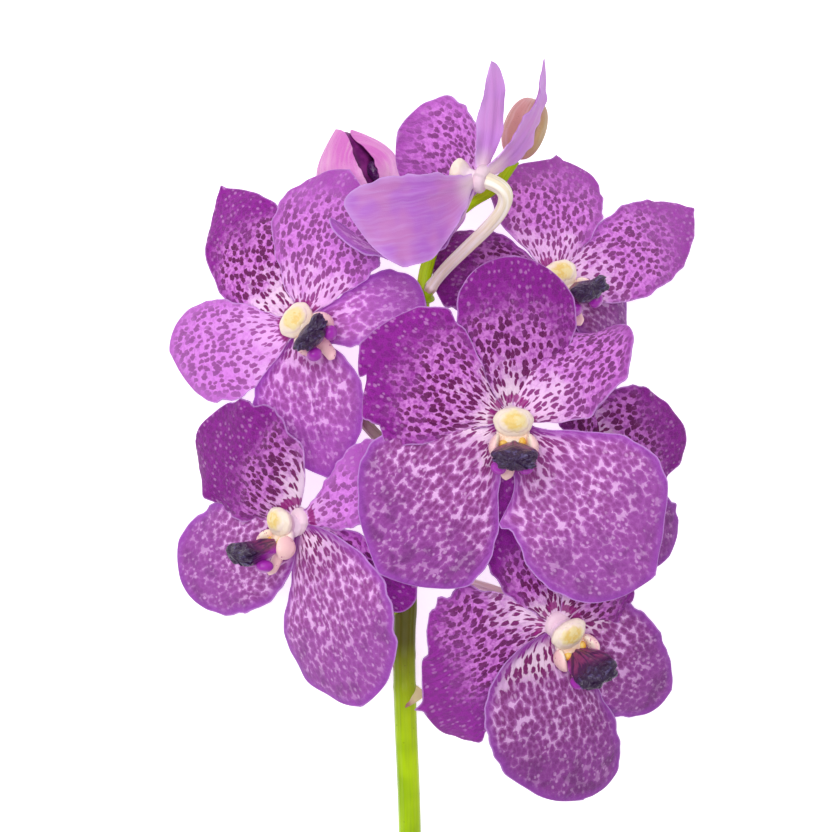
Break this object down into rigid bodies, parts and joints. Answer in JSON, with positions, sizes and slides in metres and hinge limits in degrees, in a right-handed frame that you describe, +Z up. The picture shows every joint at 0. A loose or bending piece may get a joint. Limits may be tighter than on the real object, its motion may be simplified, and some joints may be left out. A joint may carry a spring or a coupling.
{
  "type": "cut vanda orchid",
  "caption": "Cut orchid spray lying on its back: a bare green stem and a dense head of broad, flat, spotted violet blooms with dark lips, and buds at its tip",
  "frame": {"origin": "on the surface that the spray lies on, under the middle of its box", "axes": "+Y runs along the spray from the cut end to the tip, +Z is up from the surface, which the open blooms look towards, and +X is to the right as seen from above with the tip away"},
  "size_m": [0.1713, 0.3361, 0.1019],
  "materials": {
    "tepal": "waxy, soft sheen",
    "column": "waxy, soft sheen",
    "lip": "fleshy, slight gloss",
    "flower_stalk": "smooth, soft sheen",
    "stem": "smooth, soft sheen",
    "bud": "smooth, matte"
  },
  "bodies": {
    "root": {"stem": "stem", "perianth_1": "tepal", "perianth_2": "tepal", "perianth_3": "tepal", "perianth_4": "tepal", "perianth_5": "tepal", "perianth_6": "tepal", "perianth_7": "tepal", "perianth_opening": "tepal", "column_1": "column", "column_2": "column", "column_3": "column", "column_4": "column", "column_5": "column", "column_6": "column", "column_7": "column", "lip_1": "lip", "lip_2": "lip", "lip_3": "lip", "lip_4": "lip", "lip_5": "lip", "lip_6": "lip", "lip_7": "lip", "lip_opening": "lip", "stalk_1": "flower_stalk", "stalk_2": "flower_stalk", "stalk_3": "flower_stalk", "stalk_4": "flower_stalk", "stalk_5": "flower_stalk", "stalk_6": "flower_stalk", "stalk_7": "flower_stalk", "stalk_opening": "flower_stalk", "closed_bud": "bud"}
  },
  "joints": []
}
